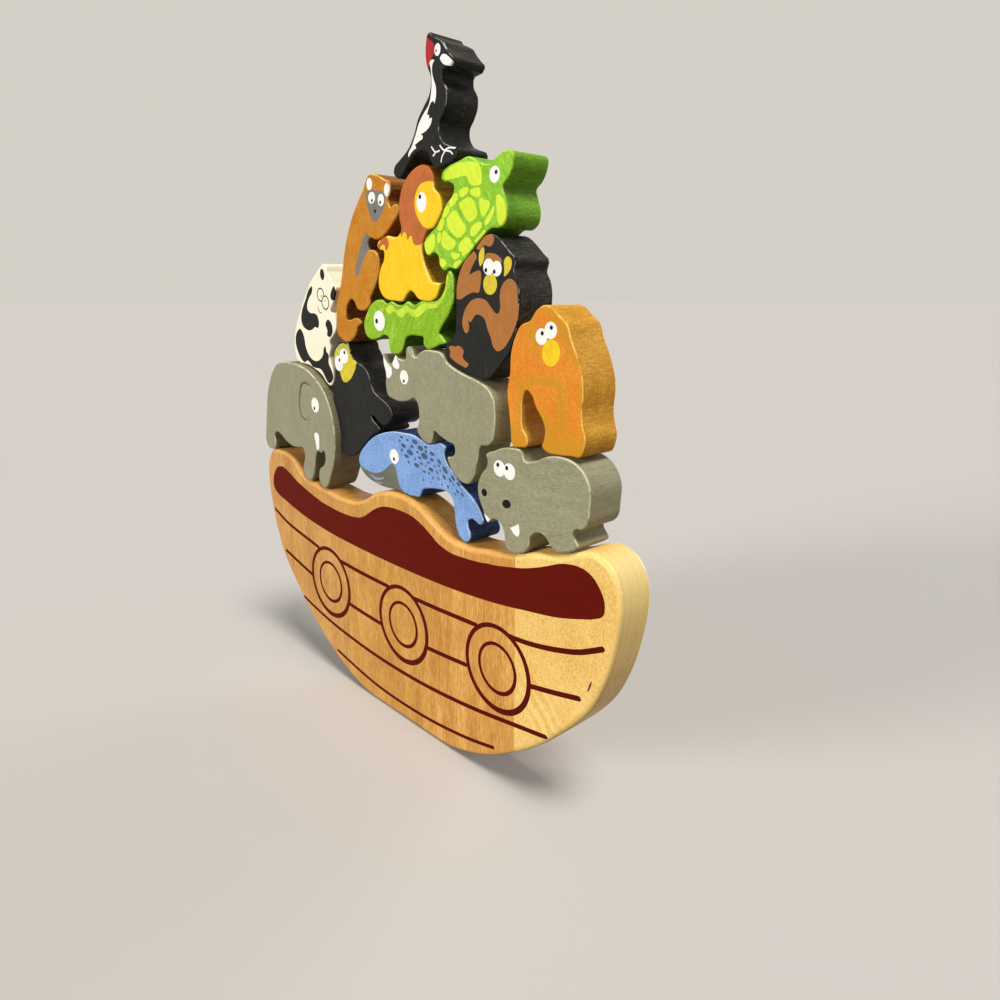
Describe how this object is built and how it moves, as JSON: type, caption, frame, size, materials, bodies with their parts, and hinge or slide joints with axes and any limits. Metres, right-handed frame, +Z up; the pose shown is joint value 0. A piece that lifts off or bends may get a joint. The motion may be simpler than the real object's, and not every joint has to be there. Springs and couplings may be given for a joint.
{
  "type": "noahs ark stacking toy",
  "caption": "Flat wooden ark with a curved hull whose deck carries a stack of interlocking sawn animals, each a loose painted piece.",
  "frame": {"origin": "middle of the flat that the ark stands on, halfway through the ark's thickness", "axes": "+X along the ark to the right as seen from the painted side, +Y from the painted faces to the back, +Z up"},
  "size_m": [0.281, 0.023, 0.3191],
  "materials": {
    "ark_wood": "satin varnish over bare wood",
    "ark_pale_wood": "satin varnish over bare wood",
    "elephant_paint": "satin paint on wood",
    "whale_paint": "satin paint on wood",
    "hippopotamus_paint": "satin paint on wood",
    "gorilla_paint": "satin paint on wood",
    "rhinoceros_paint": "satin paint on wood",
    "orangutan_paint": "satin paint on wood",
    "chimpanzee_paint": "satin paint on wood",
    "iguana_paint": "satin paint on wood",
    "lion_paint": "satin paint on wood",
    "lemur_paint": "satin paint on wood",
    "panda_paint": "satin paint on wood",
    "turtle_paint": "satin paint on wood",
    "woodpecker_paint": "satin paint on wood"
  },
  "bodies": {
    "ark": {"ark_left_end_board": "ark_wood", "ark_left_board": "ark_wood", "ark_right_board": "ark_wood", "ark_right_end_board": "ark_pale_wood"},
    "elephant": {"elephant": "elephant_paint"},
    "whale": {"whale": "whale_paint"},
    "hippopotamus": {"hippopotamus": "hippopotamus_paint"},
    "gorilla": {"gorilla": "gorilla_paint"},
    "rhinoceros": {"rhinoceros": "rhinoceros_paint"},
    "orangutan": {"orangutan": "orangutan_paint"},
    "chimpanzee": {"chimpanzee": "chimpanzee_paint"},
    "iguana": {"iguana": "iguana_paint"},
    "lion": {"lion": "lion_paint"},
    "lemur": {"lemur": "lemur_paint"},
    "panda": {"panda": "panda_paint"},
    "turtle": {"turtle": "turtle_paint"},
    "woodpecker": {"woodpecker": "woodpecker_paint"}
  },
  "joints": [
    {"name": "elephant_draws_out", "type": "slide", "parent": "ark", "child": "elephant", "axis": [0, -1, 0], "range_m": [0, 0.045]},
    {"name": "whale_draws_out", "type": "slide", "parent": "ark", "child": "whale", "axis": [0, -1, 0], "range_m": [0, 0.045]},
    {"name": "hippopotamus_draws_out", "type": "slide", "parent": "ark", "child": "hippopotamus", "axis": [0, -1, 0], "range_m": [0, 0.045]},
    {"name": "gorilla_draws_out", "type": "slide", "parent": "ark", "child": "gorilla", "axis": [0, -1, 0], "range_m": [0, 0.045]},
    {"name": "rhinoceros_draws_out", "type": "slide", "parent": "ark", "child": "rhinoceros", "axis": [0, -1, 0], "range_m": [0, 0.045]},
    {"name": "orangutan_draws_out", "type": "slide", "parent": "ark", "child": "orangutan", "axis": [0, -1, 0], "range_m": [0, 0.045]},
    {"name": "chimpanzee_draws_out", "type": "slide", "parent": "ark", "child": "chimpanzee", "axis": [0, -1, 0], "range_m": [0, 0.045]},
    {"name": "iguana_draws_out", "type": "slide", "parent": "ark", "child": "iguana", "axis": [0, -1, 0], "range_m": [0, 0.045]},
    {"name": "lion_draws_out", "type": "slide", "parent": "ark", "child": "lion", "axis": [0, -1, 0], "range_m": [0, 0.045]},
    {"name": "lemur_draws_out", "type": "slide", "parent": "ark", "child": "lemur", "axis": [0, -1, 0], "range_m": [0, 0.045]},
    {"name": "panda_lifts_off", "type": "slide", "parent": "ark", "child": "panda", "axis": [0, 0, 1], "range_m": [0, 0.08]},
    {"name": "turtle_draws_out", "type": "slide", "parent": "ark", "child": "turtle", "axis": [0, -1, 0], "range_m": [0, 0.045]},
    {"name": "woodpecker_lifts_off", "type": "slide", "parent": "ark", "child": "woodpecker", "axis": [0, 0, 1], "range_m": [0, 0.08]}
  ]
}
